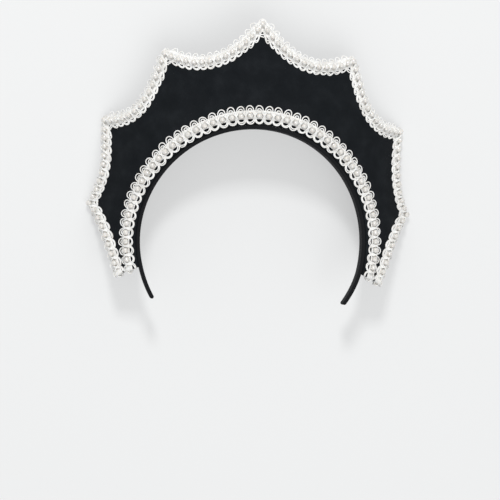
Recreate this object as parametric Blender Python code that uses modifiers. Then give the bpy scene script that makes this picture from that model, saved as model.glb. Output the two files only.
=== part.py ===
"""Tudor headdress: a bent velvet crescent with seven tips on a head band, edged twice with pearl braid.

Metres, +Z up. The pieces are worked out as worn, with X to the viewer's right, Y towards the back
of the head and Z up, and then laid on the back by the empty that carries them all.
"""
import math

import bmesh
import bpy
import numpy as np
from mathutils import Matrix, Vector

OBJECT_NAME = "tudor_headdress"

# Crescent plate: a padded board covered in velvet, cut flat and bent round an upright cylinder.
FLAT_HALF_SPREAD = 0.1332
CROWN_RISE = 0.1525
FACE_RADIUS = 0.140
PLATE_THICKNESS = 0.0035
PLATE_EDGE_ROUND = 0.0008
ARCH_RADIUS = 0.0820
HORN_ANGLE = math.radians(104.5)
HORN_PEARL_SPACING = 0.0087

# Head band under the arch.
BAND_THICKNESS = 0.0025
BAND_WIDTH = 0.0160
BAND_END_ANGLE = math.radians(122.0)
BAND_SWEEP_BACK = 0.0060
BAND_EDGE_ROUND = 0.0007

# Pearl braid: a gimp tape with one row of half sunk pearls and a picot edge on both sides.
BRAID_HALF_WIDTH = 0.00665
BRAID_THICKNESS = 0.0009
PICOT_DEPTH = 0.0016
PEARL_RADIUS = 0.0023
PEARL_RISE = 0.0033
PEARL_SINK = 0.0002
PEARL_ROOT = 0.0004
BRAID_FOLD_ANGLE = math.radians(28.0)
EDGE_PAST_PEARLS = 0.0023
FOLD_PAST_EDGE = 0.0004
TIP_SHARE_OF_OUTER_HALF = 0.62
TIP_FAN_LENGTH = 0.0070
ARCH_PEARL_PITCH = 0.0065
CLEARANCE = 0.0003

PEARL_SIDES = 10
PEARL_RINGS = 4
PLATE_COLUMNS_PER_EDGE = 8
PLATE_ROWS = 3
BAND_COLUMNS = 32

# Outline of the flat crescent along its pearls, from the centre tip down one side. Columns: how
# far across, as a share of FLAT_HALF_SPREAD; how high above the arch's centre, as a share of
# CROWN_RISE; depth of the scallop down to the next tip, as a share of its chord; how far the
# scallop's deepest point leans to the next tip; pearls from this tip to the next one.
TIP_COLUMNS = ("across", "height", "sag", "lean", "pearls")
TIPS = (
    (0.000, 1.000, 0.209, 0.026, 14),
    (0.518, 0.856, 0.208, 0.080, 13),
    (0.900, 0.548, 0.130, 0.040, 10),
    (1.000, 0.157, 0.050, -0.040, 8),
)

VELVET = ((0.011, 0.012, 0.014, 1.0), 0.95)
BAND_CLOTH = ((0.014, 0.015, 0.017, 1.0), 0.85)
PEARL_WHITE = ((0.86, 0.85, 0.81, 1.0), 0.35)


def clear_scene():
    """Remove what the file opened with."""
    for thing in list(bpy.data.objects):
        bpy.data.objects.remove(thing, do_unlink=True)


def make_material(name, look):
    """One plain Principled material: a colour and a roughness."""
    colour, roughness = look
    material = bpy.data.materials.new(name)
    material.use_nodes = True
    shader = material.node_tree.nodes["Principled BSDF"]
    shader.inputs["Base Color"].default_value = colour
    shader.inputs["Roughness"].default_value = roughness
    shader.inputs["Metallic"].default_value = 0.0
    return material


def bend(flat, proud):
    """Bend flat points (across, height) on to the upright cylinder, proud of its face."""
    turn = flat[:, 0] / FACE_RADIUS
    radius = FACE_RADIUS + proud
    return np.stack([radius * np.sin(turn), FACE_RADIUS - radius * np.cos(turn), flat[:, 1]], axis=1)


def flat_from_front(front, proud):
    """Flat places of front view points (x, z) that lie proud of the cylinder's face."""
    across = FACE_RADIUS * np.arcsin(front[:, 0] / (FACE_RADIUS + proud))
    return np.stack([across, front[:, 1]], axis=1)


def arch_front(radius, angles):
    """Front view points of a round arch, angles counted from its top."""
    return np.stack([radius * np.sin(angles), radius * np.cos(angles)], axis=1)


def resample(points, count):
    """The same line with count equal steps."""
    steps = np.hypot(*np.diff(points, axis=0).T)
    length = np.concatenate([[0.0], np.cumsum(steps)])
    wanted = np.linspace(0.0, length[-1], count + 1)
    return np.stack([np.interp(wanted, length, points[:, i]) for i in range(2)], axis=1)


def horn_foot():
    """Where the outline's pearls end: beside the last pearl of the arch, on its outer side."""
    middle = arch_pearl_line(400)
    return middle[-1] - inward_normals(middle)[-1] * HORN_PEARL_SPACING


def scallops():
    """The flat edges of one side, tip to tip, each as a fine line from its upper tip down."""
    corners = [np.array([row[0] * FLAT_HALF_SPREAD, row[1] * CROWN_RISE]) for row in TIPS]
    corners.append(horn_foot())
    share = np.linspace(0.0, 1.0, 61)[:, None]
    lines = []
    for row, start, end in zip(TIPS, corners[:-1], corners[1:]):
        sag, lean = row[TIP_COLUMNS.index("sag")], row[TIP_COLUMNS.index("lean")]
        chord = end - start
        inward = np.array([chord[1], -chord[0]])
        depth = 4.0 * share * (1.0 - share) * (sag + lean * (2.0 * share - 1.0))
        lines.append(start + share * chord + depth * inward)
    return lines


def both_sides(lines):
    """Mirror one side's lines and join them in order from the left horn to the right horn."""
    left = [line[::-1] * (-1.0, 1.0) for line in lines[::-1]]
    return left + list(lines)


def inward_normals(line):
    """Unit normals of a left to right line, on the side of the arch's centre."""
    along = np.gradient(line, axis=0)
    along /= np.linalg.norm(along, axis=1)[:, None]
    return np.stack([along[:, 1], -along[:, 0]], axis=1)


def mitred_inside(lines, distances):
    """Lines a distance inside each of the joined lines, cut where neighbours meet at a tip."""
    result = []
    for number, line in enumerate(lines):
        normals = inward_normals(line)
        moved = line + normals * distances[number][:, None]
        for end, neighbour in ((0, number - 1), (-1, number + 1)):
            if not 0 <= neighbour < len(lines):
                continue
            other = inward_normals(lines[neighbour])[-1 if end == 0 else 0]
            bisector = normals[end] + other
            side = bisector[0] * (moved[:, 1] - line[end, 1]) - bisector[1] * (moved[:, 0] - line[end, 0])
            keep_sign = 1.0 if end == 0 else -1.0
            beyond = side * keep_sign < 0.0
            moved = cut_line(moved, beyond, side, end)
        result.append(resample(moved, len(line) - 1))
    return result


def cut_line(points, beyond, side, end):
    """Drop the points beyond a cutting line at one end and end on the line itself."""
    if not beyond[end]:
        return points
    order = np.arange(len(points)) if end == 0 else np.arange(len(points))[::-1]
    first_kept = next(i for i, place in enumerate(order) if not beyond[place])
    before, after = order[first_kept - 1], order[first_kept]
    share = side[before] / (side[before] - side[after])
    crossing = points[before] + share * (points[after] - points[before])
    kept = points[order[first_kept:]]
    cut = np.vstack([crossing, kept])
    return cut if end == 0 else cut[::-1]


def fanned_outside(lines, distances, tip_share):
    """Lines a distance outside the joined lines, whose direction fans round each tip."""
    result = []
    for number, line in enumerate(lines):
        normals = inward_normals(line)
        steps = np.hypot(*np.diff(line, axis=0).T)
        place = np.concatenate([[0.0], np.cumsum(steps)])
        direction = normals.copy()
        reach = np.array(distances[number])
        for end, neighbour in ((0, number - 1), (-1, number + 1)):
            if not 0 <= neighbour < len(lines):
                continue
            other = inward_normals(lines[neighbour])[-1 if end == 0 else 0]
            bisector = normals[end] + other
            bisector /= np.linalg.norm(bisector)
            near = np.clip(1.0 - np.abs(place - place[end]) / TIP_FAN_LENGTH, 0.0, 1.0)
            near = near * near * (3.0 - 2.0 * near)
            direction += near[:, None] * (bisector - direction)
            reach = reach * (1.0 - near * (1.0 - tip_share))
        direction /= np.linalg.norm(direction, axis=1)[:, None]
        result.append(line - direction * reach[:, None])
    return result


def join_lines(lines):
    """One line from lines that meet end to end."""
    return np.vstack([lines[0]] + [line[1:] for line in lines[1:]])


def loft(name, sections, material):
    """A closed solid through sections that all have the same number of points."""
    rings, ring = sections.shape[:2]
    mesh = bmesh.new()
    verts = [mesh.verts.new(point) for point in sections.reshape(-1, 3)]
    for i in range(rings - 1):
        for j in range(ring):
            k = (j + 1) % ring
            mesh.faces.new((verts[i * ring + j], verts[i * ring + k],
                            verts[(i + 1) * ring + k], verts[(i + 1) * ring + j]))
    mesh.faces.new(verts[:ring][::-1])
    mesh.faces.new(verts[-ring:])
    bmesh.ops.recalc_face_normals(mesh, faces=mesh.faces)
    return finish_mesh(name, mesh, material)


def finish_mesh(name, mesh, material):
    """Turn a bmesh into an object with its material."""
    data = bpy.data.meshes.new(name)
    mesh.to_mesh(data)
    mesh.free()
    data.materials.append(material)
    piece = bpy.data.objects.new(name, data)
    bpy.context.scene.collection.objects.link(piece)
    return piece


def outer_lines(counts):
    """The whole outline from horn to horn as tip to tip lines with the given steps each."""
    lines = both_sides([resample(line, count) for line, count in zip(scallops(), counts)])
    return lines


def gap_to(points, line):
    """Distance from each point to a fine line."""
    return np.min(np.linalg.norm(points[:, None, :] - line[None, :, :], axis=2), axis=1)


def arch_pearl_line(count):
    """Flat places along the middle of the arch's braid."""
    angles = np.linspace(-HORN_ANGLE, HORN_ANGLE, count + 1)
    radius = ARCH_RADIUS + BRAID_HALF_WIDTH + CLEARANCE
    return flat_from_front(arch_front(radius, angles), 0.0)


def half_width_beside(points, other_line):
    """Half of a braid's width on the side where the other braid runs close by."""
    room = 0.5 * gap_to(points, other_line) - 0.5 * CLEARANCE
    return np.minimum(BRAID_HALF_WIDTH, room)


def make_plate(material):
    """The crescent: rows from the arch out to the scalloped edge, front and back."""
    lines = outer_lines([PLATE_COLUMNS_PER_EDGE] * len(TIPS))
    past = [np.full(len(line), EDGE_PAST_PEARLS) for line in lines]
    edge = join_lines(fanned_outside(lines, past, 1.0))
    front_edge = bend(edge, 0.0)
    angles = np.arctan2(front_edge[:, 0], front_edge[:, 2])
    angles *= HORN_ANGLE / abs(angles[0])
    arch = arch_front(ARCH_RADIUS, angles)
    shares = np.linspace(0.0, 1.0, PLATE_ROWS + 1)
    rounded = PLATE_EDGE_ROUND
    outward = edge - flat_from_front(arch, 0.0)
    outward /= np.linalg.norm(outward, axis=1)[:, None]
    columns = []
    for proud, order in ((0.0, shares), (-PLATE_THICKNESS, shares[::-1])):
        inner = flat_from_front(arch, proud)
        outer = edge - outward * rounded
        columns += [bend(inner + share * (outer - inner), proud) for share in order]
        if proud == 0.0:
            columns.append(bend(edge, -rounded))
            columns.append(bend(edge, -PLATE_THICKNESS + rounded))
    return loft("crown_plate", np.stack(columns, axis=1), material)


def make_band(material):
    """The head band: an open strip round the arch, given its wall and rounded edges."""
    angles = np.linspace(-BAND_END_ANGLE, BAND_END_ANGLE, BAND_COLUMNS + 1)
    radius = ARCH_RADIUS - CLEARANCE
    front = arch_front(radius, angles)
    widest = arch_front(radius, np.clip(angles, -0.5 * math.pi, 0.5 * math.pi))
    depth = bend(flat_from_front(widest, 0.0), 0.0)[:, 1]
    past_side = np.clip(np.abs(angles) - 0.5 * math.pi, 0.0, None) / (BAND_END_ANGLE - 0.5 * math.pi)
    depth += BAND_SWEEP_BACK * past_side ** 1.5
    mesh = bmesh.new()
    rows = []
    for back in (0.0, BAND_WIDTH):
        rows.append([mesh.verts.new((x, y + back, z)) for (x, z), y in zip(front, depth)])
    for i in range(BAND_COLUMNS):
        mesh.faces.new((rows[0][i], rows[0][i + 1], rows[1][i + 1], rows[1][i]))
    band = finish_mesh("head_band", mesh, material)
    wall = band.modifiers.new("wall", "SOLIDIFY")
    wall.thickness = BAND_THICKNESS
    wall.offset = -1.0
    wall.use_even_offset = True
    rounding = band.modifiers.new("rounded_edges", "BEVEL")
    rounding.width = BAND_EDGE_ROUND
    rounding.segments = 1
    rounding.limit_method = "ANGLE"
    rounding.angle_limit = math.radians(50.0)
    return band


def picot_edge(full, valley):
    """An edge that reaches out beside each pearl and draws in between pearls."""
    edge = full.copy()
    edge[1::2] = valley[1::2]
    return edge


def thin(distances):
    """The same distances less the depth of a picot."""
    return [np.maximum(distance - PICOT_DEPTH, 0.4 * distance) for distance in distances]


def make_outer_braid(material):
    """Braid along the scalloped edge: flat inside the pearls, folded back past the plate's edge."""
    counts = [2 * row[TIP_COLUMNS.index("pearls")] for row in TIPS]
    lines = outer_lines(counts)
    arch_line = arch_pearl_line(400)
    inside = [half_width_beside(line, arch_line) for line in lines]
    inner = picot_edge(join_lines(mitred_inside(lines, inside)),
                       join_lines(mitred_inside(lines, thin(inside))))
    to_fold = EDGE_PAST_PEARLS + FOLD_PAST_EDGE
    fold = join_lines(fanned_outside(lines, [np.full(len(line), to_fold) for line in lines], 1.0))
    past = BRAID_HALF_WIDTH - to_fold
    flat_past = to_fold + past * math.cos(BRAID_FOLD_ANGLE)
    outside = [np.full(len(line), flat_past) for line in lines]
    outer = picot_edge(join_lines(fanned_outside(lines, outside, TIP_SHARE_OF_OUTER_HALF)),
                       join_lines(fanned_outside(lines, thin(outside), TIP_SHARE_OF_OUTER_HALF)))
    drop = past * math.sin(BRAID_FOLD_ANGLE)
    under, top = CLEARANCE, CLEARANCE + BRAID_THICKNESS
    section = [bend(inner, under), bend(fold, under), bend(outer, under - drop),
               bend(outer, top - drop), bend(fold, top), bend(inner, top)]
    middle = join_lines(lines)
    tape = loft("outer_pearl_braid", np.stack(section, axis=1), material)
    return sew_pearls(tape, middle[2:-2:2], top)


def make_arch_braid(material):
    """Braid along the arch, flat on the plate."""
    radius = ARCH_RADIUS + BRAID_HALF_WIDTH + CLEARANCE
    pearls = 2 * round(HORN_ANGLE * radius / ARCH_PEARL_PITCH)
    middle = arch_pearl_line(2 * pearls)
    outline = join_lines([resample(line, 120) for line in both_sides(scallops())])
    outward = half_width_beside(middle, outline)
    normals = inward_normals(middle)
    outer = picot_edge(middle - normals * outward[:, None],
                       middle - normals * (outward - PICOT_DEPTH)[:, None])
    inner = picot_edge(middle + normals * BRAID_HALF_WIDTH,
                       middle + normals * (BRAID_HALF_WIDTH - PICOT_DEPTH))
    under, top = CLEARANCE, CLEARANCE + BRAID_THICKNESS
    section = [bend(inner, under), bend(outer, under), bend(outer, top), bend(inner, top)]
    tape = loft("arch_pearl_braid", np.stack(section, axis=1), material)
    return sew_pearls(tape, middle[2:-2:2], top)


def one_pearl():
    """A pearl that rises from a braid's upper face, with a shallow root below it."""
    mesh = bmesh.new()
    bmesh.ops.create_uvsphere(mesh, u_segments=PEARL_SIDES, v_segments=PEARL_RINGS, radius=PEARL_RADIUS)
    for vert in mesh.verts:
        depth = PEARL_RISE if vert.co.z > 0.0 else PEARL_ROOT
        vert.co.z *= depth / PEARL_RADIUS
    pearl = bpy.data.meshes.new("pearl")
    mesh.to_mesh(pearl)
    mesh.free()
    return pearl


def sew_pearls(tape, places, top):
    """Fuse a row of pearls to a braid, each sunk a little into its upper face."""
    pearl = one_pearl()
    mesh = bmesh.new()
    for place, centre in zip(places, bend(places, top - PEARL_SINK)):
        turn = Matrix.Rotation(place[0] / FACE_RADIUS, 4, "Z") @ Matrix.Rotation(math.radians(90.0), 4, "X")
        known = len(mesh.verts)
        mesh.from_mesh(pearl)
        mesh.verts.ensure_lookup_table()
        bmesh.ops.transform(mesh, matrix=Matrix.Translation(Vector(centre)) @ turn, verts=mesh.verts[known:])
    bpy.data.meshes.remove(pearl)
    pearls = finish_mesh(tape.name + "_pearls", mesh, tape.data.materials[0])
    pearls.hide_render = True
    pearls.display_type = "WIRE"
    union = tape.modifiers.new("pearls", "BOOLEAN")
    union.operation = "UNION"
    union.solver = "EXACT"
    union.object = pearls
    return tape


def lay_on_back(pieces, helpers):
    """Carry every piece on an empty that lays the headdress on its back and sets it on the floor."""
    carrier = bpy.data.objects.new("lying_on_back", None)
    bpy.context.scene.collection.objects.link(carrier)
    for piece in pieces + helpers:
        piece.parent = carrier
    lower, side = side_tip_feet()
    lean = math.atan2(side[1] - lower[1], lower[2] - side[2])
    carrier.rotation_euler = (-0.5 * math.pi - lean, 0.0, 0.0)
    bpy.context.view_layer.update()
    low, high = world_box(pieces)
    middle = 0.5 * (low + high)
    carrier.location = (-middle[0], -middle[1], -low[2])


def side_tip_feet():
    """The backmost points of the braid at the lower and the side tip, as worn."""
    feet = []
    for row in TIPS[2:]:
        flat = np.array([[row[0] * FLAT_HALF_SPREAD, row[1] * CROWN_RISE]])
        reach = TIP_SHARE_OF_OUTER_HALF * BRAID_HALF_WIDTH
        feet.append(bend(flat + (reach, 0.0), -reach * math.sin(BRAID_FOLD_ANGLE))[0])
    return feet


def world_box(pieces):
    """Lowest and highest corner of the finished pieces."""
    graph = bpy.context.evaluated_depsgraph_get()
    corners = []
    for piece in pieces:
        data = piece.evaluated_get(graph).to_mesh()
        places = np.empty(len(data.vertices) * 3)
        data.vertices.foreach_get("co", places)
        world = np.array(piece.matrix_world)
        corners.append(places.reshape(-1, 3) @ world[:3, :3].T + world[:3, 3])
        piece.evaluated_get(graph).to_mesh_clear()
    places = np.vstack(corners)
    return places.min(axis=0), places.max(axis=0)


def sort_into_collections(pieces, helpers):
    """Parts in a collection named for the object, guides in another."""
    for name, members in ((OBJECT_NAME, pieces), ("guides", helpers)):
        collection = bpy.data.collections.new(name)
        bpy.context.scene.collection.children.link(collection)
        for member in members:
            for old in list(member.users_collection):
                old.objects.unlink(member)
            collection.objects.link(member)


def build():
    """Make the headdress."""
    clear_scene()
    velvet = make_material("black_velvet", VELVET)
    band_cloth = make_material("black_band_cloth", BAND_CLOTH)
    pearl_white = make_material("white_pearl_braid", PEARL_WHITE)
    pieces = [
        make_plate(velvet),
        make_band(band_cloth),
        make_outer_braid(pearl_white),
        make_arch_braid(pearl_white),
    ]
    helpers = [thing for thing in bpy.data.objects if thing not in pieces]
    sort_into_collections(pieces, helpers)
    lay_on_back(pieces, helpers)


build()
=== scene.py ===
"""Tudor headdress: the pieces that show, with floor, light and camera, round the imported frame.

A crescent of black velvet with seven tips stands on a head band, and a white braid with a row of
pearls runs along its scalloped outline and round its arch. Places are worked out as worn, with X to
the viewer's right, Y to the back of the head and Z up, and then laid on the back with the frame.
"""
from __future__ import annotations

import logging
import math
from dataclasses import dataclass, field
from enum import Enum

import bpy
import numpy as np
from mathutils import Matrix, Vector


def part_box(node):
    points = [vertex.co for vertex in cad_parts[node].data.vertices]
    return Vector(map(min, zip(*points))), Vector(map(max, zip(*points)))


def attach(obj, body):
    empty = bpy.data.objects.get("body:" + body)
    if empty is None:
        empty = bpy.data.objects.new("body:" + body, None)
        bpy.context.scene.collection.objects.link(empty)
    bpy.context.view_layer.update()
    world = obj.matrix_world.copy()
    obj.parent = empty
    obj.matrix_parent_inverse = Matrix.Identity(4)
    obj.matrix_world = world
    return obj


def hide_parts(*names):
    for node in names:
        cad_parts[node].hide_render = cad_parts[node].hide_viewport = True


Array = np.ndarray
Material = bpy.types.Material
Socket = bpy.types.NodeSocket

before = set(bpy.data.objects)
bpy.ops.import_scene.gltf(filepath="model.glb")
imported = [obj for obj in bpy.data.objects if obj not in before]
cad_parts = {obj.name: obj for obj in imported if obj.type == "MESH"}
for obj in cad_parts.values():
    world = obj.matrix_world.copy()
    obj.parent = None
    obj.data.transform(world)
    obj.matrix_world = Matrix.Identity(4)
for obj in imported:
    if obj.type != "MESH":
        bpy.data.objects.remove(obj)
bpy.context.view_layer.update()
BODY = "root"
LOG = logging.getLogger("tudor_headdress")

# Outline of the flat crescent along its pearls, from the centre tip down one side, as the packed
# solids have it. Columns: how far across, as a share of the flat half spread; how high above the
# arch's centre, as a share of the rise; depth of the scallop down to the next tip and lean of its
# deepest point, as shares of its chord; pearls from this tip to the next one.
TIP_COLUMNS = ("across", "height", "sag", "lean", "pearls")
TIPS = (
    (0.000, 1.000, 0.209, 0.026, 14),
    (0.518, 0.856, 0.208, 0.080, 13),
    (0.900, 0.548, 0.130, 0.040, 10),
    (1.000, 0.157, 0.050, -0.040, 8),
)


def column(name: str) -> list[float]:
    """Values of one named column of the table of tips, from the centre tip down."""
    return [row[TIP_COLUMNS.index(name)] for row in TIPS]


@dataclass(frozen=True)
class Sizes:
    """Sizes of the headdress as worn, in metres and radians, the same as the solids have."""

    flat_half_spread: float = 0.1332
    crown_rise: float = 0.1525
    face_radius: float = 0.140
    plate_thickness: float = 0.0035
    plate_edge_round: float = 0.0008
    plate_columns_per_edge: int = 8
    arch_radius: float = 0.0820
    horn_angle: float = math.radians(104.5)
    horn_pearl_spacing: float = 0.0087
    band_thickness: float = 0.0025
    band_width: float = 0.0160
    band_end_angle: float = math.radians(122.0)
    band_sweep_back: float = 0.0060
    braid_half_width: float = 0.00665
    braid_fold_angle: float = math.radians(28.0)
    edge_past_pearls: float = 0.0023
    fold_past_edge: float = 0.0004
    tip_share: float = 0.62
    tip_fan_length: float = 0.0070
    arch_pearl_pitch: float = 0.0065
    clearance: float = 0.0003

    @property
    def arch_braid_radius(self) -> float:
        """Radius of the arch's row of pearls, as seen from the front."""
        return self.arch_radius + self.braid_half_width + self.clearance


SIZES = Sizes()

# Steps of the lines that are only measured against or divided again.
ARCH_STEPS = 400
EDGE_STEPS = 60
# Steps of a braid's lines from pearl to pearl.
PEARL_STEPS = 12


def smooth_step(share: Array) -> Array:
    """The curve 3t^2 - 2t^3 of t held between 0 and 1, which starts and ends level."""
    held = np.clip(share, 0.0, 1.0)
    return held * held * (3.0 - 2.0 * held)


def unit(vectors: Array) -> Array:
    """The same directions at length one."""
    return vectors / np.linalg.norm(vectors, axis=-1, keepdims=True)


def blend(low: Array, high: Array, share: Array) -> Array:
    """The value a share of the way from low to high."""
    return low * (1.0 - share) + high * share


def way_along(points: Array) -> Array:
    """Length of a line up to each of its points."""
    return np.concatenate([[0.0], np.cumsum(np.linalg.norm(np.diff(points, axis=0), axis=1))])


def whole_turn(sides: int) -> Array:
    """Angles of a ring's points, in equal steps from 0."""
    return np.linspace(0.0, 2.0 * math.pi, sides, endpoint=False)


def rotation(angle: float, axis: str) -> Array:
    """The matrix of a turn about one axis."""
    return np.array(Matrix.Rotation(angle, 3, axis))


def square_axes(ahead: Array, rise: Array) -> tuple[Array, Array, Array]:
    """Unit axes ahead, to the side and up, from ways ahead and rough ways up."""
    axis = unit(ahead)
    side = unit(np.cross(axis, rise))
    return axis, side, np.cross(side, axis)


def linear(code: str) -> tuple[float, float, float, float]:
    """Turn an sRGB hex colour into linear light.

    Args:
        code: six hex digits after a hash.

    Returns:
        Red, green, blue and alpha for a shader socket.
    """
    parts = [int(code[i:i + 2], 16) / 255.0 for i in (1, 3, 5)]
    light = [c / 12.92 if c <= 0.04045 else ((c + 0.055) / 1.055) ** 2.4 for c in parts]
    return (*light, 1.0)


class FlatPattern:
    """The crescent's flat pattern and its wrap round an upright cylinder."""

    @staticmethod
    def bend(flat: Array, proud: Array | float) -> Array:
        """Wrap flat points round the cylinder: x and y turn by across over radius, z is the height.

        Args:
            flat: points (across, height), in an array whose last axis is 2.
            proud: height of each point above the cylinder's face.

        Returns:
            The places as worn.
        """
        turn = flat[..., 0] / SIZES.face_radius
        radius = SIZES.face_radius + proud
        return np.stack([radius * np.sin(turn), SIZES.face_radius - radius * np.cos(turn),
                         flat[..., 1] + 0.0 * turn], axis=-1)

    @staticmethod
    def flat_from_front(front: Array, proud: Array | float) -> Array:
        """Flat places of front view points (x, z): across is the radius times the arc sine."""
        across = SIZES.face_radius * np.arcsin(front[..., 0] / (SIZES.face_radius + proud))
        return np.stack([across, front[..., 1]], axis=-1)

    @staticmethod
    def arch_front(radius: float, angles: Array) -> Array:
        """Front view points (x, z) of a round arch at angles from its top."""
        return np.stack([radius * np.sin(angles), radius * np.cos(angles)], axis=-1)

    @staticmethod
    def resample(points: Array, count: int) -> Array:
        """The same line in equal steps of its length.

        Args:
            points: the line's points.
            count: how many steps.

        Returns:
            count + 1 points.
        """
        length = way_along(points)
        wanted = np.linspace(0.0, length[-1], count + 1)
        return np.stack([np.interp(wanted, length, points[:, i]) for i in range(2)], axis=1)

    @staticmethod
    def inward_normals(line: Array) -> Array:
        """Unit normals of a left to right line: its tangent turned by a quarter towards the arch."""
        along = unit(np.gradient(line, axis=0))
        return np.stack([along[:, 1], -along[:, 0]], axis=1)

    @staticmethod
    def join(lines: list[Array]) -> Array:
        """One line from lines that meet end to end."""
        return np.vstack([lines[0]] + [line[1:] for line in lines[1:]])

    def arch_pearl_line(self, count: int = ARCH_STEPS) -> Array:
        """Flat places along the middle of the arch's braid, in that many steps."""
        angles = np.linspace(-SIZES.horn_angle, SIZES.horn_angle, count + 1)
        return self.flat_from_front(self.arch_front(SIZES.arch_braid_radius, angles), 0.0)

    def scallops(self) -> list[Array]:
        """One side's edges: each a chord plus 4t(1-t)(sag + lean(2t-1)) of it towards the arch.

        Returns:
            A fine flat line from each tip down to the next, the last one to the horn's foot.
        """
        corners = [np.array([across * SIZES.flat_half_spread, height * SIZES.crown_rise])
                   for across, height in zip(column("across"), column("height"))]
        arch = self.arch_pearl_line()
        corners.append(arch[-1] - self.inward_normals(arch)[-1] * SIZES.horn_pearl_spacing)
        share = np.linspace(0.0, 1.0, EDGE_STEPS + 1)[:, None]
        lines = []
        for sag, lean, start, end in zip(column("sag"), column("lean"), corners[:-1], corners[1:]):
            chord = end - start
            inward = np.array([chord[1], -chord[0]])
            depth = 4.0 * share * (1.0 - share) * (sag + lean * (2.0 * share - 1.0))
            lines.append(start + share * chord + depth * inward)
        return lines

    def outline(self, counts: list[int]) -> list[Array]:
        """The flat edges from horn to horn, with their steps given from the centre tip down."""
        side = [self.resample(line, count) for line, count in zip(self.scallops(), counts)]
        return [line[::-1] * (-1.0, 1.0) for line in side[::-1]] + side

    def corners(self, lines: list[Array], number: int) -> list[tuple[int, Array]]:
        """Where a line meets its neighbours, and the unit way that halves each corner.

        Args:
            lines: the joined lines.
            number: which line.

        Returns:
            For each corner 0 for the line's first point or -1 for its last, and the way.
        """
        found = []
        for end, other in ((0, number - 1), (-1, number + 1)):
            if 0 <= other < len(lines):
                both = self.inward_normals(lines[number])[end] + self.inward_normals(lines[other])[-1 - end]
                found.append((end, unit(both)))
        return found

    def inside(self, lines: list[Array], distances: list[Array]) -> list[Array]:
        """Lines a distance inside joined ones, each cut off on the line that halves the corner.

        Args:
            lines: the joined lines.
            distances: the distance at each of their points.

        Returns:
            As many lines with as many points.
        """
        result = []
        for number, line in enumerate(lines):
            moved = line + self.inward_normals(line) * distances[number][:, None]
            for end, middle in self.corners(lines, number):
                way = 1 if end == 0 else -1
                moved = self.cut(moved[::way], line[end], way * middle)[::way]
            result.append(self.resample(moved, len(line) - 1))
        return result

    @staticmethod
    def cut(points: Array, corner: Array, middle: Array) -> Array:
        """Start a line where it crosses the one that halves a corner.

        Args:
            points: the line.
            corner: the corner's place.
            middle: the way that halves it.

        Returns:
            The line from there on, or the whole line where it starts past it.
        """
        off = points - corner
        side = middle[0] * off[:, 1] - middle[1] * off[:, 0]
        if side[0] >= 0.0:
            return points
        first = int(np.argmax(side >= 0.0))
        share = side[first - 1] / (side[first - 1] - side[first])
        return np.vstack([blend(points[first - 1], points[first], share), points[first:]])

    def outside(self, lines: list[Array], distance: float, tip_share: float,
                fan_length: float = SIZES.tip_fan_length) -> list[Array]:
        """Lines a distance outside joined ones, whose direction fans round each corner.

        Args:
            lines: the joined lines.
            distance: how far outside.
            tip_share: share of the distance that is left at a corner.
            fan_length: how far from a corner the fan reaches.

        Returns:
            As many lines with as many points.
        """
        result = []
        for number, line in enumerate(lines):
            place = way_along(line)
            direction = self.inward_normals(line)
            reach = np.full(len(line), distance)
            for end, middle in self.corners(lines, number):
                near = smooth_step(1.0 - np.abs(place - place[end]) / fan_length)
                direction += near[:, None] * (middle - direction)
                reach *= 1.0 - near * (1.0 - tip_share)
            result.append(line - unit(direction) * reach[:, None])
        return result

    @staticmethod
    def half_width_beside(points: Array, other: Array) -> Array:
        """Half of a braid's width, which gives way to half of the room to the other's line."""
        gaps = np.min(np.linalg.norm(points[:, None, :] - other[None, :, :], axis=2), axis=1)
        return np.minimum(SIZES.braid_half_width, 0.5 * (gaps - SIZES.clearance))


PATTERN = FlatPattern()


class Laying:
    """Turns places as worn into places in the frame, where the headdress lies on its back."""

    def __init__(self) -> None:
        """Work out the lean from the feet it lies on, and the shift from the plate's own box."""
        lower, side = self.feet()
        lean = math.atan2(side[1] - lower[1], lower[2] - side[2])
        self.turn = rotation(-0.5 * math.pi - lean, "X")
        low, high = (np.array(corner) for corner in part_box("crown_plate"))
        plate = self.plate_corners() @ self.turn.T
        self.shift = np.array([0.0, high[1] - plate[:, 1].max(), low[2] - plate[:, 2].min()])

    @staticmethod
    def feet() -> list[Array]:
        """The backmost points of the braid at the lower and at the side tip, as worn."""
        reach = SIZES.tip_share * SIZES.braid_half_width
        drop = -reach * math.sin(SIZES.braid_fold_angle)
        places = [np.array([across * SIZES.flat_half_spread + reach, height * SIZES.crown_rise])
                  for across, height in zip(column("across")[2:], column("height")[2:])]
        return [PATTERN.bend(place, drop) for place in places]

    @staticmethod
    def plate_corners() -> Array:
        """The edge rows of the solid plate, as worn."""
        lines = PATTERN.outline([SIZES.plate_columns_per_edge] * len(TIPS))
        edge = PATTERN.join(PATTERN.outside(lines, SIZES.edge_past_pearls, 1.0))
        depths = (-SIZES.plate_edge_round, SIZES.plate_edge_round - SIZES.plate_thickness)
        return np.vstack([PATTERN.bend(edge, depth) for depth in depths])

    def point(self, worn: Array) -> Array:
        """Places in the frame from places as worn, in an array whose last axis is 3."""
        return worn @ self.turn.T + self.shift

    def direction(self, worn: Array) -> Array:
        """A direction in the frame from one as worn."""
        return worn @ self.turn.T


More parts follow.
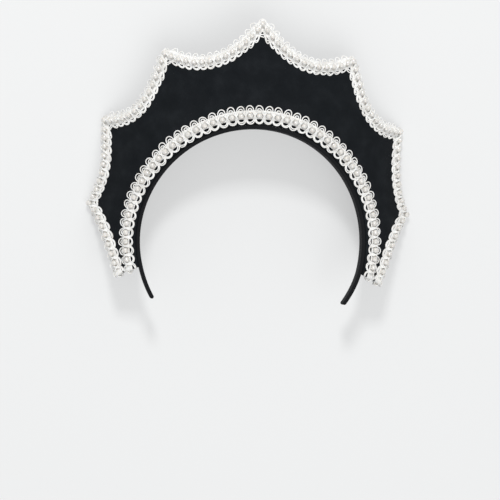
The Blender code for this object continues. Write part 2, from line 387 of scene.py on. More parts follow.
class Paint:
    """A material with one Principled shader, and the few nodes that feed it."""

    def __init__(self, name: str, fixed: dict) -> None:
        """Start the material.

        Args:
            name: the material's name.
            fixed: the shader's fixed values by socket name.
        """
        self.material = bpy.data.materials.new(name)
        self.material.use_nodes = True
        self.tree = self.material.node_tree
        self.shader = self.tree.nodes["Principled BSDF"]
        for socket, value in fixed.items():
            self.shader.inputs[socket].default_value = value

    def add(self, kind: str, inputs: dict | None = None, **settings: object) -> bpy.types.Node:
        """Add a shader node.

        Args:
            kind: the node's type name.
            inputs: by name or number, the socket that feeds an input or the value it keeps.
            settings: attributes of the node itself.

        Returns:
            The node.
        """
        made = self.tree.nodes.new(kind)
        for name, value in settings.items():
            setattr(made, name, value)
        for name, value in (inputs or {}).items():
            if isinstance(value, Socket):
                self.tree.links.new(value, made.inputs[name])
            else:
                made.inputs[name].default_value = value
        return made

    def maths(self, operation: str, *terms: Socket | float) -> Socket:
        """What a math node makes of sockets and numbers."""
        return self.add("ShaderNodeMath", dict(enumerate(terms)), operation=operation).outputs[0]

    def noise(self, place: Socket, size: float, detail: float,
              roughness: float = 0.5) -> Socket:
        """Cloudy noise from 0 to 1 whose patches are about as large as size, in metres."""
        return self.add("ShaderNodeTexNoise", {"Vector": place, "Scale": 1.0 / size, "Detail": detail,
                                               "Roughness": roughness}).outputs["Fac"]

    def colour(self, fac: Socket, stops: list[tuple[float, str]]) -> None:
        """Feed the base colour from a ramp along a value.

        Args:
            fac: the value that picks the colour.
            stops: places from 0 to 1 with their sRGB hex colours.
        """
        made = self.add("ShaderNodeValToRGB", {"Fac": fac})
        elements = made.color_ramp.elements
        while len(elements) < len(stops):
            elements.new(0.5)
        for element, (place, code) in zip(elements, stops):
            element.position = place
            element.color = linear(code)
        self.tree.links.new(made.outputs["Color"], self.shader.inputs["Base Color"])

    def bump(self, height: Socket, strength: float, distance: float) -> None:
        """Feed the normal from a bump, where one unit of height stands for a distance in metres."""
        made = self.add("ShaderNodeBump", {"Height": height, "Strength": strength, "Distance": distance})
        self.tree.links.new(made.outputs["Normal"], self.shader.inputs["Normal"])


# Light that grazes black fibres comes back a little blue.
SHEEN_TINT = "#B9BCC2"


@dataclass(frozen=True)
class CottonVelvet:
    """Woven cotton velvet with a short cut pile: it swallows light and turns paler edge on."""

    name: str = "black_cotton_velvet"
    deep: str = "#131619"
    middle: str = "#171A1D"
    pale: str = "#1D2023"
    nap_patch: float = 0.011
    # The pile's tufts stand 0.3 mm apart and are drawn twice as coarse, so that they show.
    tuft: float = 0.0006
    tuft_share: float = 0.30

    def material(self) -> Material:
        """Dark base with brushed patches, a grain of tufts in colour and bump, and a sheen."""
        paint = Paint(self.name, {
            "Roughness": 0.95, "IOR": 1.45, "Specular IOR Level": 0.12,
            "Sheen Weight": 0.04, "Sheen Roughness": 0.35, "Sheen Tint": linear(SHEEN_TINT)})
        place = paint.add("ShaderNodeTexCoord").outputs["Object"]
        patches = paint.noise(place, self.nap_patch, 3.0, 0.55)
        tufts = paint.noise(place, self.tuft, 1.0)
        mixed = paint.maths("MULTIPLY_ADD", tufts, self.tuft_share, patches)
        centred = paint.maths("SUBTRACT", mixed, 0.5 * self.tuft_share)
        paint.colour(centred, [(0.30, self.deep), (0.52, self.middle), (0.74, self.pale)])
        paint.bump(tufts, 0.35, 0.0003)
        return paint.material


@dataclass(frozen=True)
class RibbedRibbon:
    """Black ribbed ribbon, woven with fine cross ribs, with a dull gleam painted on their crests and shade
    painted between them.
    """

    name: str = "black_ribbed_ribbon"
    # Painted shade for the troughs between ribs and painted highlight for their crests.
    painted_trough_shade: str = "#131416"
    light: str = "#1F2022"
    # Ribs stand 0.5 mm apart and are drawn at 0.8 mm.
    rib: float = 0.0008

    def material(self) -> Material:
        """Dark ribs that run across the ribbon, from the piece's UV map, with painted shade in their
        troughs and a painted highlight on their crests.
        """
        paint = Paint(self.name, {
            "Roughness": 0.88, "IOR": 1.5, "Specular IOR Level": 0.10,
            "Sheen Weight": 0.03, "Sheen Roughness": 0.4, "Sheen Tint": linear(SHEEN_TINT)})
        place = paint.add("ShaderNodeTexCoord").outputs["UV"]
        along = paint.add("ShaderNodeSeparateXYZ", {0: place}).outputs[0]
        wave = paint.maths("SINE", paint.maths("MULTIPLY", along, 2.0 * math.pi / self.rib))
        rib_height_and_painted_shade = paint.maths("MULTIPLY_ADD", wave, 0.5, 0.5)
        # Painted shade and highlight: the colour follows the ribs' height, darker in the troughs and
        # lighter on the crests.
        paint.colour(rib_height_and_painted_shade, [(0.1, self.painted_trough_shade), (0.9, self.light)])
        paint.bump(rib_height_and_painted_shade, 0.5, 0.00015)
        return paint.material


@dataclass(frozen=True)
class RayonGimp:
    """Viscose thread wound round a core: a soft satin white that shows its turns close up."""

    name: str = "white_rayon_gimp"
    shade: str = "#E4E2DE"
    light: str = "#F7F6F3"
    # Turns of thread lie 0.15 mm apart and are drawn more than twice as coarse.
    turn: float = 0.00036
    soil_patch: float = 0.006

    def material(self) -> Material:
        """White with slanted turns in the bump and faint uneven patches, on the piece's UV map."""
        paint = Paint(self.name, {
            "Roughness": 0.42, "IOR": 1.5, "Specular IOR Level": 0.45,
            "Sheen Weight": 0.15, "Sheen Roughness": 0.3,
            "Subsurface Weight": 0.12, "Subsurface Radius": (0.0008, 0.0007, 0.0006),
            "Subsurface Scale": 1.0})
        coords = paint.add("ShaderNodeTexCoord")
        split = paint.add("ShaderNodeSeparateXYZ", {0: coords.outputs["UV"]})
        along = paint.maths("MULTIPLY", split.outputs[0], 1.0 / self.turn)
        slanted = paint.maths("ADD", along, split.outputs[1])
        wave = paint.maths("SINE", paint.maths("MULTIPLY", slanted, 2.0 * math.pi))
        paint.bump(wave, 0.35, 0.00006)
        patches = paint.noise(coords.outputs["Object"], self.soil_patch, 3.0)
        paint.colour(patches, [(0.28, self.shade), (0.55, self.light)])
        return paint.material


@dataclass(frozen=True)
class ImitationPearl:
    """Moulded beads under lacquer with pearl essence, whose crystals have an index of about 1.85.

    The eye gets a greyed white, a soft glow from below the skin and a small clear highlight.
    """

    name: str = "white_pearl_lacquer"
    shade: str = "#C9C6C0"
    light: str = "#E1DED9"
    cloud: float = 0.0016

    def material(self) -> Material:
        """Greyed white clouds under a clear coat, with a little light let through."""
        paint = Paint(self.name, {
            "Roughness": 0.36, "IOR": 1.53, "Specular IOR Level": 0.5, "Metallic": 0.06,
            "Coat Weight": 1.0, "Coat Roughness": 0.04, "Coat IOR": 1.85,
            "Subsurface Weight": 0.25, "Subsurface Radius": (0.0012, 0.0010, 0.0008),
            "Subsurface Scale": 1.0})
        place = paint.add("ShaderNodeTexCoord").outputs["Object"]
        paint.colour(paint.noise(place, self.cloud, 2.0), [(0.25, self.shade), (0.60, self.light)])
        return paint.material


def stand(name: str, data: bpy.types.ID) -> bpy.types.Object:
    """A new object in the scene, at the origin, with its data."""
    made = bpy.data.objects.new(name, data)
    bpy.context.scene.collection.objects.link(made)
    return made


def pose(axes: list[Array], place: Array) -> Matrix:
    """A world matrix from the directions of an object's three axes and its place."""
    matrix = np.eye(4)
    matrix[:3, :3] = np.stack(axes, axis=1)
    matrix[:3, 3] = place
    return Matrix(matrix)


class Skin:
    """Closed tubes in one mesh, with a UV map of length along and turns round."""

    def __init__(self, tubes: list[Array]) -> None:
        """Skin the tubes.

        Args:
            tubes: for each one its places, in an array of rings, points of a ring, and 3.
        """
        self.parts: list[tuple[Array, ...]] = []
        self.count = 0
        for rings in tubes:
            self.add(rings)

    def add(self, rings: Array) -> None:
        """Close one tube round and at both ends, with its faces outwards.

        Args:
            rings: its places.
        """
        number, sides = rings.shape[:2]
        places = np.vstack([rings.reshape(-1, 3), rings[[0, -1]].mean(axis=1)])
        ring = np.arange(sides)
        after = (ring + 1) % sides
        start = sides * np.arange(number - 1)[:, None]
        quads = np.stack([start + ring, start + after, start + sides + after, start + sides + ring],
                         axis=-1).reshape(-1, 4)
        last, pole = (number - 1) * sides, np.full(sides, number * sides)
        tris = np.vstack([np.stack([after, ring, pole], axis=1),
                          np.stack([last + ring, last + after, pole + 1], axis=1)])
        if self.volume(places, np.vstack([quads[:, :3], quads[:, [0, 2, 3]], tris])) < 0.0:
            quads, tris = quads[:, ::-1], tris[:, ::-1]
        length = way_along(rings.mean(axis=1))
        spots = np.stack(np.broadcast_arrays(length[:, None], ring / sides), axis=-1).reshape(-1, 2)
        spots = np.vstack([spots, [(length[0], 0.0), (length[-1], 0.0)]])
        self.parts.append((places, quads + self.count, tris + self.count, spots))
        self.count += len(places)

    @staticmethod
    def volume(places: Array, tris: Array) -> float:
        """Signed volume in a skin of triangles: the sum of their triple products over six."""
        a, b, c = (places[tris[:, i]] - places[0] for i in range(3))
        return float(np.einsum("ij,ij->i", a, np.cross(b, c)).sum() / 6.0)

    def piece(self, name: str, material: Material, slot: str,
              *nodes: str) -> bpy.types.Object:
        """Turn the tubes into a piece at the origin, on the body, with its place in its mesh.

        Args:
            name: the piece's name.
            material: its finish.
            slot: the record's material slot, which is not used.
            nodes: CAD nodes that it replaces.

        Returns:
            The piece.
        """
        places, quads, tris, spots = (np.vstack(part) for part in zip(*self.parts))
        data = bpy.data.meshes.new(name)
        data.from_pydata(places, [], quads.tolist() + tris.tolist(), shade_flat=False)
        uv = np.concatenate([self.closed_turns(faces, spots) for faces in (quads, tris)])
        data.uv_layers.new(name="UVMap").data.foreach_set("uv", uv.astype(np.float32))
        data.materials.append(material)
        data.validate()
        LOG.info("%s: %d vertices, %d faces", name, len(data.vertices), len(data.polygons))
        made = stand(name, data)
        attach(made, BODY)
        if nodes:
            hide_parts(*nodes)
        return made

    @staticmethod
    def closed_turns(faces: Array, spots: Array) -> Array:
        """Each corner's UV from its vertex's, a whole turn on where a face closes the ring.

        Args:
            faces: rows of corners.
            spots: the UV of each vertex.

        Returns:
            The UVs in one row, corner after corner.
        """
        uv = spots[faces]
        uv[(uv[..., 1] < 0.25) & (uv[..., 1].max(axis=1, keepdims=True) > 0.75), 1] += 1.0
        return uv.ravel()


# How the waves in the velvet bend sideways, how much longer they are upwards, and where they start.
WAVE_BEND = 0.7
WAVE_STRETCH = 0.8
WAVE_START = 1.0


@dataclass
class VelvetCrown:
    """The crescent: a stiff padded board with velvet drawn tight round its edges."""

    laying: Laying
    columns_per_edge: int = 44
    front_rows: int = 30
    back_rows: int = 8
    round_rows: int = 7
    puff: float = 0.00045
    puff_margin: float = 0.0070
    wave_height: float = 0.00012
    wave_length: float = 0.034

    def profile(self) -> tuple[Array, Array, Array]:
        """The ring of one column: out along the face, half round the edge, back, half round.

        Returns:
            For each ring point, its share of the way from arch to outline, how far past that place
            it lies along the same way, and its height above the face.
        """
        r = 0.5 * SIZES.plate_thickness
        face, back = np.linspace(0.0, 1.0, self.front_rows), np.linspace(1.0, 0.0, self.back_rows)
        turn = np.linspace(0.0, math.pi, self.round_rows + 2)[1:-1]
        share = np.concatenate([face, np.ones(len(turn)), back, np.zeros(len(turn))])
        past = r * np.concatenate([1.0 - 2.0 * face, np.sin(turn) - 1.0,
                                   1.0 - 2.0 * back, 1.0 - np.sin(turn)])
        proud = r * np.concatenate([0.0 * face, np.cos(turn) - 1.0, 0.0 * back - 2.0, -1.0 - np.cos(turn)])
        return share, past, proud

    def surface(self) -> Array:
        """The velvet: flat place = arch + share of the way to the outline, wrapped at its height.

        Returns:
            Rings of places as worn.
        """
        lines = PATTERN.outline([self.columns_per_edge] * len(TIPS))
        edge = PATTERN.join(PATTERN.outside(lines, SIZES.edge_past_pearls, 1.0))
        front_edge = PATTERN.bend(edge, 0.0)
        angles = np.arctan2(front_edge[:, 0], front_edge[:, 2])
        angles *= SIZES.horn_angle / abs(angles[0])
        share, past, proud = self.profile()
        arch = np.repeat(PATTERN.arch_front(SIZES.arch_radius, angles)[:, None, :], len(share), axis=1)
        inner = PATTERN.flat_from_front(arch, proud)
        way = edge[:, None, :] - inner
        length = np.linalg.norm(way, axis=2)
        flat = inner + way * (share + past / length)[..., None]
        lift = self.lift(flat, share * length, (1.0 - share) * length) * (proud > -1e-9)
        return PATTERN.bend(flat, proud + lift)

    def lift(self, flat: Array, from_arch: Array, from_edge: Array) -> Array:
        """How far the padding lifts the face: a soft rise clear of both braids, and slow waves.

        Args:
            flat: flat places.
            from_arch: their way from the arch.
            from_edge: their way from the outline.

        Returns:
            The lift of each place.
        """
        clear = np.minimum(from_arch - 2.0 * SIZES.braid_half_width, from_edge - self.puff_margin)
        rise = smooth_step(clear / (2.0 * self.puff_margin))
        phase = 2.0 * math.pi * flat / self.wave_length
        bent = phase[..., 0] + WAVE_BEND * np.sin(phase[..., 1])
        waves = np.sin(bent) * np.sin(WAVE_STRETCH * phase[..., 1] + WAVE_START)
        return rise * (self.puff + self.wave_height * waves)

    def build(self) -> None:
        """Make the crown, put it on the body and hide the solid plate."""
        crown = Skin([self.laying.point(self.surface())]).piece(
            "velvet_crown", CottonVelvet().material(), "black_velvet", "crown_plate")


@dataclass
class HeadBand:
    """The band under the arch that holds the crown on the head."""

    laying: Laying
    columns: int = 180
    sides: int = 28
    end_rounds: int = 6
    corner_power: float = 0.35
    smallest_end: float = 0.02
    sweep_power: float = 1.5
    # The real band is sewn tight against the crown's edge, so no light shows between them.
    sewn_in: float = 0.00006

    @staticmethod
    def face_depth(angles: Array | float) -> Array:
        """How far back the crown's face meets the band, at angles from the top."""
        front = PATTERN.arch_front(SIZES.arch_radius - SIZES.clearance, np.asarray(angles))
        return PATTERN.bend(PATTERN.flat_from_front(front, 0.0), 0.0)[..., 1]

    def rounded(self, wave: Array) -> Array:
        """Sines or cosines drawn out to the sides of a rounded oblong."""
        return np.sign(wave) * np.abs(wave) ** self.corner_power

    def surface(self) -> Array:
        """A rounded oblong carried round the arch, whose size falls off as a half round at the ends.

        It stays level with the crown's face down to the horns, and then sweeps back by a power of
        the share of the way to its end.

        Returns:
            Rings of places as worn.
        """
        half_wall, half_width = 0.5 * (SIZES.band_thickness + SIZES.clearance), 0.5 * SIZES.band_width
        radius = SIZES.arch_radius + self.sewn_in - half_wall
        end_turn = half_wall / radius
        body = np.linspace(end_turn - SIZES.band_end_angle, SIZES.band_end_angle - end_turn, self.columns)
        turn = np.linspace(0.0, 0.5 * math.pi, self.end_rounds + 1)[:-1]
        end = SIZES.band_end_angle - end_turn * (1.0 - np.cos(turn))
        angles = np.concatenate([-end, body, end[::-1]])
        size = np.concatenate([np.sin(turn), np.ones(len(body)), np.sin(turn[::-1])])
        size = np.maximum(size, self.smallest_end)[:, None]
        held = np.clip(angles, -SIZES.horn_angle, SIZES.horn_angle)
        past = (np.abs(angles) - np.abs(held)) / (SIZES.band_end_angle - SIZES.horn_angle)
        depth = self.face_depth(held)
        sweep = self.face_depth(0.5 * math.pi) + SIZES.band_sweep_back - depth[0]
        depth = depth + sweep * past ** self.sweep_power
        around = whole_turn(self.sides)
        reach = radius + size * half_wall * self.rounded(np.cos(around))
        shrink = half_width - half_wall * (1.0 - size)
        back = depth[:, None] + half_width + shrink * self.rounded(np.sin(around))
        return np.stack([reach * np.sin(angles)[:, None], back, reach * np.cos(angles)[:, None]], axis=-1)

    def build(self) -> None:
        """Make the band, put it on the body and hide the solid band."""
        Skin([self.laying.point(self.surface())]).piece(
            "head_band_ribbon", RibbedRibbon().material(), "black_band_cloth", "head_band")


class BraidLay:
    """Where a braid lies: lines along it at a few stations across, and their heights.

    Both ends go on past the plate's end, round it and on to its back, where they are sewn down.
    """

    turned_pearls: float = 2.0
    wrap_round: float = 0.0006

    def __init__(self, stations: Array, lines: Array, heights: Array) -> None:
        """Lengthen the lines by the stretch that is turned over at each end.

        Args:
            stations: places across the braid, from the arch's side to the outline's.
            lines: a flat line for each station, with PEARL_STEPS samples from pearl to pearl.
            heights: the foot's height above the face for each station and sample.
        """
        self.stations = stations
        middle = lines[int(np.argmin(np.abs(stations)))]
        pitch = np.linalg.norm(middle[1] - middle[0])
        samples = np.arange(1, round(self.turned_pearls * PEARL_STEPS) + 1)
        way, fall, turn = self.turn_under(pitch * samples)
        ends = []
        for end, step in ((0, 1), (-1, -1)):
            ahead = unit(middle[end] - middle[end + step])
            line = lines[:, end, None, :] + way[None, :, None] * ahead
            # Seen from the front it stays behind itself, and so clear of the band.
            line = PATTERN.flat_from_front(PATTERN.bend(line, 0.0)[..., ::2], -fall[None, :])
            height = heights[:, end, None] - fall[None, :]
            toward = np.repeat(ahead[None, :], len(way), axis=0)
            ends.append((line[:, ::-step], height[:, ::-step], turn[::-step], toward))
        count = lines.shape[1]
        whole = (lines, heights, np.zeros(count), np.zeros((count, 2)))
        self.lines, self.heights, self.turns, self.towards = (
            np.concatenate(parts, axis=axis) for axis, *parts in zip((1, 1, 0, 0), ends[0], whole, ends[1]))

    def turn_under(self, length: Array) -> tuple[Array, Array, Array]:
        """The way round the plate's end: a quarter round, straight down, a quarter round, back.

        Args:
            length: lengths of braid from the plate's end.

        Returns:
            Way past the end, fall below the face, and how far the braid has turned over.
        """
        r = self.wrap_round
        quarter = 0.5 * math.pi * r
        down = SIZES.plate_thickness - 2.0 * r + 2.0 * SIZES.clearance
        first = np.clip(length / quarter, 0.0, 1.0) * 0.5 * math.pi
        second = np.clip((length - quarter - down) / quarter, 0.0, 1.0) * 0.5 * math.pi
        straight = np.clip(length - quarter, 0.0, down)
        back = np.clip(length - 2.0 * quarter - down, 0.0, None)
        way = r * np.sin(first) - r * (1.0 - np.cos(second)) - back
        fall = r * (1.0 - np.cos(first)) + straight + r * np.sin(second)
        return way, fall, first + second

    def place(self, along: Array, across: Array, height: Array | float) -> Array:
        """Places on the braid: between the two next lines, at the same count of pearls along both.

        Args:
            along: pearls from the plate's end at the left horn.
            across: way from the braid's middle, towards the outline where positive.
            height: height above its foot.

        Returns:
            Places as worn.
        """
        last = self.lines.shape[1] - 1
        spot = np.clip((along + self.turned_pearls) * PEARL_STEPS, 0.0, last)
        before = np.minimum(spot.astype(int), last - 1)
        share = spot - before
        row = np.clip(np.searchsorted(self.stations, across) - 1, 0, len(self.stations) - 2)
        start, end = self.stations[row], self.stations[row + 1]
        side = (across - start) / (end - start)

        def between(table: Array) -> Array:
            """A table's value between its two next rows and samples."""
            extra = (...,) + (None,) * (table.ndim - 2)
            low, high = (blend(table[at, before], table[at, before + 1], share[extra])
                         for at in (row, row + 1))
            return blend(low, high, side[extra])

        turn = blend(self.turns[before], self.turns[before + 1], share)
        flat = between(self.lines) + (height * np.sin(turn))[..., None] * self.towards[before]
        return PATTERN.bend(flat, between(self.heights) + height * np.cos(turn))


# Short ways up in metres and along in pearls, from which a braid's directions are read.
UP_STEP = 0.001
AHEAD_STEP = 0.3
# Angle from a pearl's pole to its first ring.
PEARL_POLE = 0.06
# What chance draws are held within, in standard deviations.
REACH_LIMITS = (-2.0, 1.1)
LEAN_LIMITS = (-1.6, 1.6)
PEARL_LIMITS = (-1.8, 1.8)


class Weave(Enum):
    """Which pearls a cord loops round on the outer side: the even ones or the odd ones."""

    EVEN = 0
    ODD = 1


class Arc(Enum):
    """The two cords of a picot: reach along as a share of the pitch, and reach across in metres.

    The first two values are for loops towards the outline, the last two for loops towards the arch,
    where the two cords are pulled together into one thick edge.
    """

    INNER = (0.190, 0.00116, 0.345, 0.00192)
    OUTER = (0.385, 0.00318, 0.468, 0.00276)


@dataclass
class PearlBraid:
    """A braid of four looped cords on a narrow tape, with a row of pearls along its middle."""

    laying: Laying
    lay: BraidLay
    pearls: int
    name: str
    node: str
    seed: int
    # From the braid's middle to the foot of its picots: towards the outline, towards the arch.
    picot_feet: tuple[float, float] = (0.00310, 0.00348)
    cord_radius: float = 0.00043
    # Height of the outer and of the inner loops above the velvet.
    loop_lifts: tuple[float, float] = (0.00005, 0.00020)
    crossing_rise: float = 0.00085
    crossing_layer: float = 0.00022
    # By chance a loop reaches further or less far across, and leans along.
    reach_chance: float = 0.08
    lean_chance: float = 0.045
    cord_sides: int = 6
    arc_steps: int = 10
    cross_steps: int = 5
    tape_half_width: float = 0.00305
    tape_thickness: float = 0.00095
    tape_foot: float = 0.00002
    tape_rows: int = 9
    # How far the tape goes past the plate's ends, in pearls.
    tape_past: float = 1.4
    stitches: int = 4
    stitch_height: float = 0.00013
    pearl_radius: float = 0.00213
    pearl_across: float = 0.0
    pearl_sides: int = 12
    pearl_rings: int = 7
    drill_radius: float = 0.00030
    drill_depth: float = 0.00035
    thread_radius: float = 0.00014
    thread_sides: int = 6
    thread_steps: int = 8
    thread_past: float = 0.1
    # How far a pearl lies off by chance: along, across and up, and in size.
    pearl_chances: tuple[float, float, float, float] = (0.018, 0.00012, 0.00006, 0.022)
    draw: np.random.Generator = field(init=False)

    def __post_init__(self) -> None:
        """Start the braid's own row of random numbers."""
        self.draw = np.random.default_rng(self.seed)

    def cord_path(self, weave: Weave, arc: Arc) -> tuple[Array, ...]:
        """A cord's way: a half oval round each pearl's picot, then an easy S to the other side.

        Args:
            weave: which pearls it loops round on the outer side.
            arc: which of the picot's two arcs it makes.

        Returns:
            Pearls along, way across and height of each point.
        """
        number = np.arange(-1, self.pearls + 3)[:, None]
        side = np.where((number + weave.value) % 2 == 0, 1.0, -1.0)
        along_reach = np.where(side > 0.0, arc.value[0], arc.value[2])
        across_reach = side * np.where(side > 0.0, arc.value[1], arc.value[3])
        foot = side * np.where(side > 0.0, *self.picot_feet)
        turn = np.linspace(-0.5 * math.pi, 0.5 * math.pi, self.arc_steps)[None, :]
        size = 1.0 + self.reach_chance * self.draw.standard_normal(number.shape).clip(*REACH_LIMITS)
        lean = self.lean_chance * self.draw.standard_normal(number.shape).clip(*LEAN_LIMITS)
        loop_along = number + along_reach * np.sin(turn) + lean * np.cos(turn)
        loop_across = foot + across_reach * size * np.cos(turn)
        loop_height = self.loop_height(arc) + 0.0 * loop_along
        step = np.linspace(0.0, 1.0, self.cross_steps + 2)[None, 1:-1]
        away = number[:-1] + along_reach[:-1]
        here = number[1:] - along_reach[1:]
        cross_along = away + (here - away) * smooth_step(step)
        cross_across = foot[:-1] + (foot[1:] - foot[:-1]) * step
        over = self.crossing_height(weave, arc)
        cross_height = self.loop_height(arc) + over * np.sin(math.pi * step) + 0.0 * cross_along
        pairs = ((loop_along, cross_along), (loop_across, cross_across), (loop_height, cross_height))
        return tuple(np.append(np.hstack([loop[:-1], cross]), loop[-1]) for loop, cross in pairs)

    def loop_height(self, arc: Arc) -> float:
        """Height of a cord's middle in its loops: on the velvet, the inner one a little raised."""
        return self.cord_radius + self.loop_lifts[0 if arc is Arc.OUTER else 1]

    def crossing_height(self, weave: Weave, arc: Arc) -> float:
        """How far a cord rises where the four cords cross between two pearls."""
        layer = weave.value + (0 if arc is Arc.OUTER else 2)
        return self.tape_thickness + self.crossing_rise + self.crossing_layer * layer

    def spot(self, along: Array, across: Array, height: Array | float) -> Array:
        """Places in the frame, by pearls along the braid, way across it and height."""
        return self.laying.point(self.lay.place(along, across, height))

    def tube(self, way: tuple[Array, ...], radius: float, sides: int) -> Array:
        """A round tube: rings square to its path, turned by the braid's own up direction.

        Args:
            way: pearls along the braid, way across it and height above its foot.
            radius: the tube's radius.
            sides: points of a ring.

        Returns:
            Rings of places in the frame.
        """
        path = self.spot(*way)
        rise = self.spot(*way[:2], way[2] + UP_STEP) - path
        _, side, rise = square_axes(np.gradient(path, axis=0), rise)
        turn = whole_turn(sides)[:, None]
        ring = side[:, None, :] * np.cos(turn) + rise[:, None, :] * np.sin(turn)
        return path[:, None, :] + radius * ring

    def tape(self) -> Array:
        """The tape's oblong section carried along, its top in rows of cosine stitches.

        Returns:
            Rings of places in the frame.
        """
        along = np.linspace(-self.tape_past, self.pearls + 1.0 + self.tape_past,
                            PEARL_STEPS * self.pearls)[:, None]
        upper = np.linspace(-1.0, 1.0, self.tape_rows)
        across = self.tape_half_width * np.concatenate([upper, [1.0, 0.0, -1.0]])[None, :]
        rows = np.arange(self.tape_rows)[None, :]
        stitches = np.cos(2.0 * math.pi * self.stitches * along + math.pi * rows)
        top = self.tape_thickness + self.stitch_height * stitches
        height = np.hstack([top, np.full((len(along), 3), self.tape_foot)])
        return self.spot(*np.broadcast_arrays(along, across, height))

    def pearl_shape(self) -> Array:
        """A ball turned about its thread, dented by an easy hollow at each end of its hole.

        Returns:
            Rings of points about the first axis, for a radius of 1.
        """
        polar = np.linspace(0.0, math.pi, self.pearl_rings + 2)
        polar[0], polar[-1] = PEARL_POLE, math.pi - PEARL_POLE
        radius, axis = np.sin(polar), np.cos(polar)
        hole = self.drill_radius / self.pearl_radius
        hollow = self.drill_depth / self.pearl_radius * np.exp(-(radius / hole) ** 2)
        axis = np.sign(axis) * (np.abs(axis) - hollow)
        turn = whole_turn(self.pearl_sides)
        return np.stack([np.repeat(axis[:, None], self.pearl_sides, axis=1),
                         radius[:, None] * np.cos(turn), radius[:, None] * np.sin(turn)], axis=-1)

    def pearl_rings_in_place(self) -> list[Array]:
        """Each pearl on the braid, with its hole along the row and small chance offsets.

        Returns:
            One array of rings for each pearl, in the frame.
        """
        number = np.arange(1, self.pearls + 1, dtype=float)
        chance = self.draw.standard_normal((4, self.pearls)).clip(*PEARL_LIMITS)
        slip, stray, lift, growth = np.array(self.pearl_chances)[:, None] * chance
        along, across, height = number + slip, self.pearl_across + stray, self.pearl_radius + lift
        size = self.pearl_radius * (1.0 + growth)
        centre = self.spot(along, across, height)
        ahead, behind = (self.spot(along + step, across, height) for step in (AHEAD_STEP, -AHEAD_STEP))
        rise = self.spot(along, across, height + UP_STEP) - centre
        basis = np.stack(square_axes(ahead - behind, rise), axis=1)
        rings = np.einsum("rsk,nkx->nrsx", self.pearl_shape(), basis) * size[:, None, None, None]
        return list(rings + centre[:, None, None, :])

    def build(self) -> None:
        """Make the tape with its cords, the pearls and their thread, and put them on the body in place of
        the solid braid.
        """
        gimp = RayonGimp().material()
        cords = [self.tube(self.cord_path(weave, arc), self.cord_radius, self.cord_sides)
                 for weave in Weave for arc in Arc]
        Skin([self.tape(), *cords]).piece(self.name + "_gimp", gimp, "pearl_braid", self.node)
        pearls = Skin(self.pearl_rings_in_place())
        pearls.piece(self.name + "_pearls", ImitationPearl().material(), "pearl_braid")
        along = np.linspace(1.0 - self.thread_past, self.pearls + self.thread_past,
                            self.thread_steps * self.pearls)
        across, height = self.pearl_across + 0.0 * along, self.pearl_radius + 0.0 * along
        thread = Skin([self.tube((along, across, height), self.thread_radius, self.thread_sides)])
        thread.piece(self.name + "_thread", gimp, "pearl_braid")


# The outer braid is drawn in on the velvet side, and folds back gently over the sides and more
# steeply over the upper edges.
INNER_HALF_IN_VIEW = 0.0057
SIDE_FOLD_ANGLE = math.radians(10.0)
TOP_FOLD_ANGLE = math.radians(24.0)
TOP_FOLD_FROM = 0.088
TOP_FOLD_OVER = 0.022
LOOP_FAN_LENGTH = 0.0050
# Where the fold starts and over how much it grows, as shares of the way to the plate's edge.
FOLD_FROM = 0.45
FOLD_OVER = 0.80
FOLD_STEPS = 7


def outer_braid_lay() -> tuple[BraidLay, int]:
    """Lay the outer braid: cut off at the corners inside, fanned and folded back outside.

    Returns:
        The lay and how many pearls it carries.
    """
    lines = PATTERN.outline([int(pearls) * PEARL_STEPS for pearls in column("pearls")])
    arch = PATTERN.arch_pearl_line()
    half = [np.minimum(PATTERN.half_width_beside(line, arch), INNER_HALF_IN_VIEW) for line in lines]
    to_fold = SIZES.edge_past_pearls + SIZES.fold_past_edge
    middle = PATTERN.join(lines)
    stations = [-SIZES.braid_half_width, 0.0]
    rows = [PATTERN.join(PATTERN.inside(lines, half)), middle]
    heights = [np.zeros(len(middle)), np.zeros(len(middle))]
    steepness = SIDE_FOLD_ANGLE + (TOP_FOLD_ANGLE - SIDE_FOLD_ANGLE) * smooth_step(
        (middle[:, 1] - TOP_FOLD_FROM) / TOP_FOLD_OVER)
    across = np.linspace(0.0, SIZES.braid_half_width, FOLD_STEPS + 1)[1:]
    step = across[0]
    outward, drop = np.zeros(len(middle)), np.zeros(len(middle))
    for place in across:
        lean = steepness * smooth_step((place / to_fold - FOLD_FROM) / FOLD_OVER)
        outward, drop = outward + step * np.cos(lean), drop + step * np.sin(lean)
        past = min(max((place - to_fold) / (across[-1] - to_fold), 0.0), 1.0)
        share = 1.0 - (1.0 - SIZES.tip_share) * past
        fan = PATTERN.join(PATTERN.outside(lines, 1.0, share, LOOP_FAN_LENGTH)) - middle
        stations.append(place)
        rows.append(middle + fan * outward[:, None])
        heights.append(-drop)
    total = 2 * int(sum(column("pearls"))) - 1
    return BraidLay(np.array(stations), np.array(rows), np.array(heights)), total


def arch_braid_lay() -> tuple[BraidLay, int]:
    """Lay the arch's braid flat on the plate, beside the outer one at the horns.

    Returns:
        The lay and how many pearls it carries.
    """
    steps = 2 * round(SIZES.horn_angle * SIZES.arch_braid_radius / SIZES.arch_pearl_pitch)
    middle = PATTERN.arch_pearl_line(steps * PEARL_STEPS)
    outline = PATTERN.join(PATTERN.outline([2 * EDGE_STEPS] * len(TIPS)))
    outward = PATTERN.half_width_beside(middle, outline)
    normals = PATTERN.inward_normals(middle)
    rows = [middle + normals * SIZES.braid_half_width, middle, middle - normals * outward[:, None]]
    stations = SIZES.braid_half_width * np.array([-1.0, 0.0, 1.0])
    return BraidLay(stations, np.array(rows), np.zeros((3, len(middle)))), steps - 1


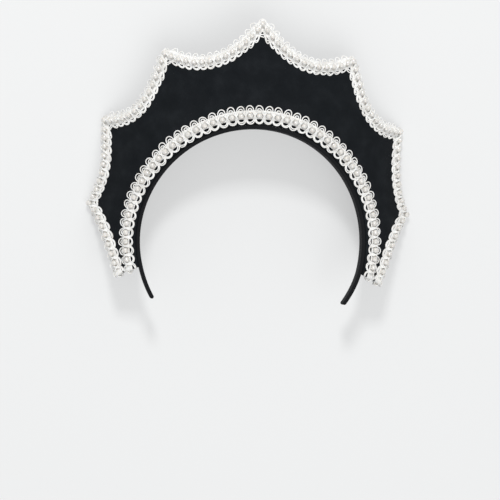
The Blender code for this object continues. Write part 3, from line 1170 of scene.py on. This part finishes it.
@dataclass(frozen=True)
class PhotoCamera:
    """A long lens in front of the worn headdress, a little to the side of its middle."""

    laying: Laying
    distance: float = 1.6
    metres_per_pixel: float = 0.00070
    pixels: int = 500
    yaw: float = math.radians(5.2)
    roll: float = math.radians(2.0)
    anchor: tuple[float, float, float] = (0.0, 0.0, 0.1484)
    anchor_pixel: tuple[float, float] = (262.4, 29.9)
    sensor: float = 36.0

    def build(self) -> None:
        """Turn the view by yaw about the upright and by roll about the line of sight."""
        turn = rotation(self.roll, "Y") @ rotation(self.yaw, "Z")
        off = np.array([self.anchor_pixel[0] - 0.5 * self.pixels, 0.0,
                        0.5 * self.pixels - self.anchor_pixel[1]]) * self.metres_per_pixel
        eye = np.array(self.anchor) - turn.T @ (off + (0.0, self.distance, 0.0))
        right, ahead, up = (self.laying.direction(turn.T @ axis) for axis in np.eye(3))
        data = bpy.data.cameras.new("photo_camera")
        data.sensor_width = self.sensor
        data.lens = self.sensor * self.distance / (self.pixels * self.metres_per_pixel)
        data.clip_start, data.clip_end = 0.05, 50.0
        camera = stand("photo_camera", data)
        camera.matrix_world = pose([right, up, -ahead], self.laying.point(eye))
        bpy.context.scene.camera = camera


@dataclass(frozen=True)
class Lamp:
    """A square area light: where it stands, what it looks at, its side, power and colour."""

    name: str
    place: tuple[float, float, float]
    side: float
    power: float
    colour: str = "#FFFFFF"
    target: tuple[float, float, float] = (0.0, 0.0, 0.03)

    def build(self) -> None:
        """Hang the light and point it at the middle of the headdress."""
        data = bpy.data.lights.new(self.name, "AREA")
        data.size = self.side
        data.energy = self.power
        data.color = linear(self.colour)[:3]
        back = unit(np.array(self.place) - self.target)
        side = unit(np.cross((0.0, 1.0, 0.001), back))
        stand(self.name, data).matrix_world = pose([side, np.cross(back, side), back], self.place)


@dataclass(frozen=True)
class Studio:
    """A plain white light table as the floor, a pale surround and soft lamps."""

    floor_colour: str = "#ADAEAE"
    world_colour: str = "#F4F5F6"
    floor_glow: float = 0.41
    world_strength: float = 0.62
    floor_half: float = 4.0
    lamps: tuple[Lamp, ...] = (
        Lamp("key_lamp_above_brow", (-0.25, 1.50, 1.60), 0.35, 24.0),
        Lamp("soft_lamp_in_front", (0.40, -0.90, 2.40), 2.0, 19.0),
    )

    def build(self) -> None:
        """Lay the floor, light the surround, hang the lamps and show colours as they are."""
        bpy.context.scene.view_settings.view_transform = "Standard"
        half = self.floor_half
        corners = [(-half, -half, 0.0), (half, -half, 0.0), (half, half, 0.0), (-half, half, 0.0)]
        data = bpy.data.meshes.new("pale_floor")
        data.from_pydata(corners, [], [(0, 1, 2, 3)])
        paint = Paint("pale_floor_paper", {
            "Base Color": linear(self.floor_colour), "Roughness": 0.9, "Specular IOR Level": 0.1,
            "Emission Color": linear("#FFFFFF"), "Emission Strength": self.floor_glow})
        data.materials.append(paint.material)
        floor = stand("pale_floor", data)
        world = bpy.data.worlds.new("pale_surround")
        world.use_nodes = True
        background = world.node_tree.nodes["Background"]
        background.inputs["Color"].default_value = linear(self.world_colour)
        background.inputs["Strength"].default_value = self.world_strength
        bpy.context.scene.world = world
        for lamp in self.lamps:
            lamp.build()


def main() -> None:
    """Build the camera, the pieces of the headdress and the studio, in that order."""
    logging.basicConfig(level=logging.INFO, format="%(name)s: %(message)s")
    laying = Laying()
    PhotoCamera(laying).build()
    VelvetCrown(laying).build()
    HeadBand(laying).build()
    lay, pearls = outer_braid_lay()
    PearlBraid(laying, lay, pearls, "outer_braid", "outer_pearl_braid", 11,
               tape_half_width=0.0039).build()
    lay, pearls = arch_braid_lay()
    PearlBraid(laying, lay, pearls, "arch_braid", "arch_pearl_braid", 23,
               pearl_across=-0.0009).build()
    Studio().build()


if __name__ == "__main__":
    main()
